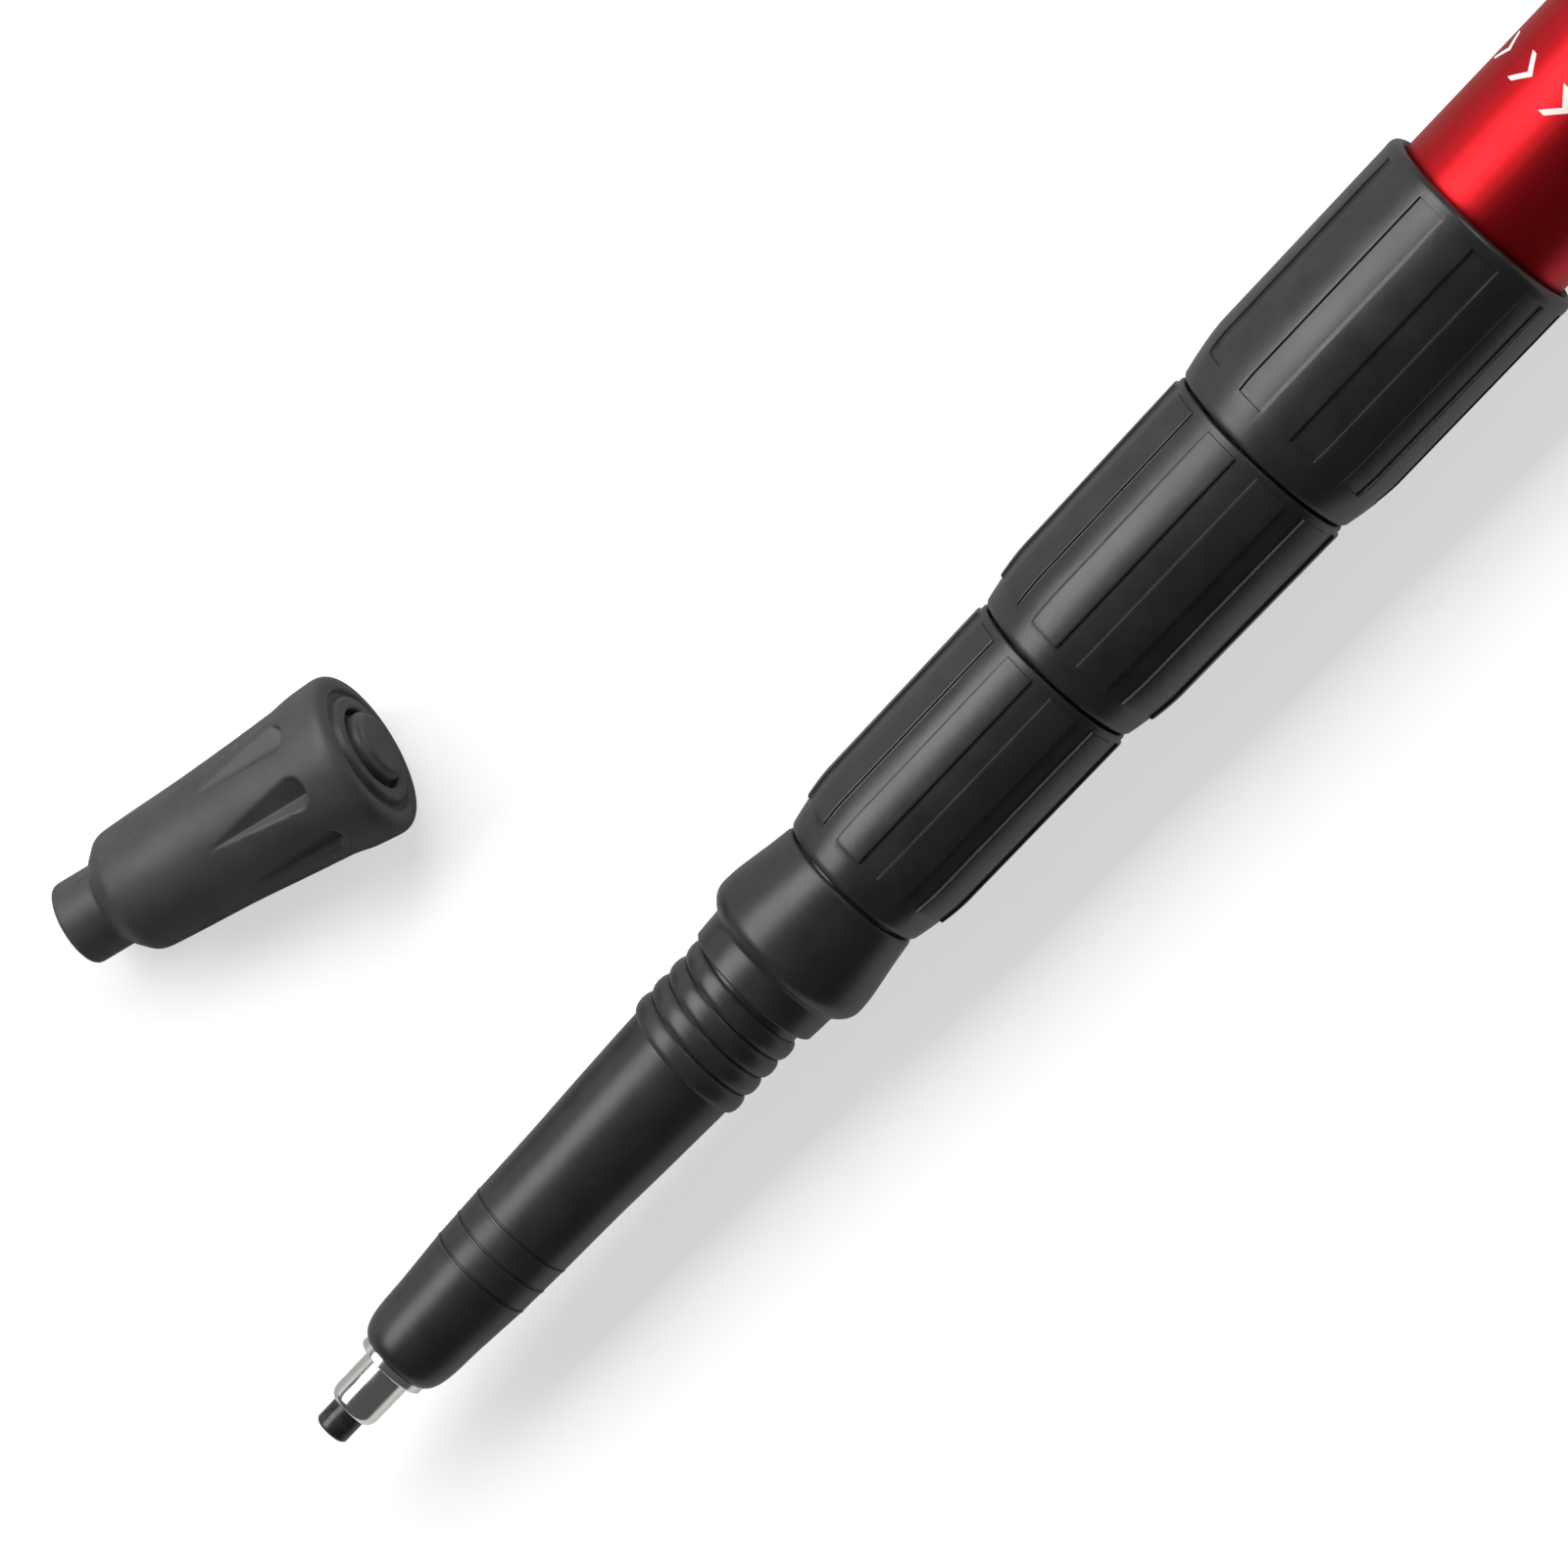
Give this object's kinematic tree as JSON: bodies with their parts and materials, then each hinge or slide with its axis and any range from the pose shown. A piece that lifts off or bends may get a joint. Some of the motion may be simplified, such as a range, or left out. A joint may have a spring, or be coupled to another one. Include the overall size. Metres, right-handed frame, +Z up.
{
  "type": "telescopic walking pole",
  "caption": "Telescopic walking pole pushed together and lying on its side, with ribbed twist-lock collars, threaded tip, oval grip, wrist strap and a loose rubber foot.",
  "frame": {"origin": "on the pole's axis at the biting end of the hard-metal tip", "axes": "+X along the pole from tip to grip, +Z up from the floor the pole lies on, +Y toward the wrist strap and the loose foot"},
  "size_m": [0.566, 0.0893, 0.026],
  "materials": {
    "red_anodised": "satin red anodised aluminium",
    "collar_polymer": "fine matt charcoal polymer",
    "silver_anodised": "satin natural anodised aluminium",
    "tip_polymer": "semi-matt black polymer",
    "chrome_plate": "polished plating",
    "carbide": "dull sintered hard metal",
    "grip_rubber": "soft matt moulded rubber",
    "head_polymer": "semi-matt black polymer",
    "pin_steel": "plain steel",
    "webbing": "woven black webbing",
    "wedge_polymer": "grey polymer",
    "insert_polymer": "black polymer",
    "spindle_steel": "plain steel",
    "cone_polymer": "dark polymer",
    "lock_nylon": "natural nylon",
    "foot_rubber": "matt charcoal rubber",
    "washer_steel": "plain steel"
  },
  "bodies": {
    "upper_section": {"upper_tube": "red_anodised", "upper_collar": "collar_polymer", "grip": "grip_rubber", "grip_head": "head_polymer", "strap_pin": "pin_steel"},
    "wrist_strap": {"wrist_strap": "webbing"},
    "strap_wedge": {"strap_wedge": "wedge_polymer"},
    "lock_1": {"expander_1": "lock_nylon"},
    "cone_1": {"cone_nut_1": "cone_polymer"},
    "section_2": {"second_tube": "silver_anodised", "second_collar": "collar_polymer", "spindle_insert_1": "insert_polymer", "spindle_1": "spindle_steel"},
    "lock_2": {"expander_2": "lock_nylon"},
    "cone_2": {"cone_nut_2": "cone_polymer"},
    "section_3": {"third_tube": "silver_anodised", "third_collar": "collar_polymer", "spindle_insert_2": "insert_polymer", "spindle_2": "spindle_steel"},
    "lock_3": {"expander_3": "lock_nylon"},
    "cone_3": {"cone_nut_3": "cone_polymer"},
    "tip_section": {"lower_tube": "silver_anodised", "tip_moulding": "tip_polymer", "ferrule": "chrome_plate", "carbide_tip": "carbide", "spindle_insert_3": "insert_polymer", "spindle_3": "spindle_steel"},
    "rubber_foot": {"rubber_foot": "foot_rubber", "foot_washer": "washer_steel"}
  },
  "joints": [
    {"name": "slide_1", "type": "slide", "parent": "upper_section", "child": "lock_1", "axis": [-1, 0, 0], "range_m": [0, 0.23]},
    {"name": "twist_1", "type": "hinge", "parent": "lock_1", "child": "section_2", "pos_m": [0.464, 0, 0], "axis": [1, 0, 0], "range_deg": [0, 360]},
    {"name": "cone_1_draw", "type": "slide", "parent": "lock_1", "child": "cone_1", "axis": [-1, 0, 0], "range_m": [0, 0.00126]},
    {"name": "slide_2", "type": "slide", "parent": "section_2", "child": "lock_2", "axis": [-1, 0, 0], "range_m": [0, 0.23]},
    {"name": "twist_2", "type": "hinge", "parent": "lock_2", "child": "section_3", "pos_m": [0.422, 0, 0], "axis": [1, 0, 0], "range_deg": [0, 360]},
    {"name": "cone_2_draw", "type": "slide", "parent": "lock_2", "child": "cone_2", "axis": [-1, 0, 0], "range_m": [0, 0.00126]},
    {"name": "slide_3", "type": "slide", "parent": "section_3", "child": "lock_3", "axis": [-1, 0, 0], "range_m": [0, 0.23]},
    {"name": "twist_3", "type": "hinge", "parent": "lock_3", "child": "tip_section", "pos_m": [0.38, 0, 0], "axis": [1, 0, 0], "range_deg": [0, 360]},
    {"name": "cone_3_draw", "type": "slide", "parent": "lock_3", "child": "cone_3", "axis": [-1, 0, 0], "range_m": [0, 0.00126]},
    {"name": "strap_swing", "type": "hinge", "parent": "upper_section", "child": "wrist_strap", "pos_m": [0.55, 0.002, 0], "axis": [0, 0, -1], "range_deg": [0, 18]},
    {"name": "wedge_pull", "type": "slide", "parent": "wrist_strap", "child": "strap_wedge", "axis": [0, 1, 0], "range_m": [0, 0.006]},
    {"name": "foot_lift", "type": "slide", "parent": "upper_section", "child": "rubber_foot", "axis": [0, 0, 1], "range_m": [0, 0.12]}
  ],
  "couplings": [
    {"joint": "cone_1_draw", "follows": "twist_1", "m_per_rad": 0.00019894},
    {"joint": "cone_2_draw", "follows": "twist_2", "m_per_rad": 0.00019894},
    {"joint": "cone_3_draw", "follows": "twist_3", "m_per_rad": 0.00019894}
  ]
}
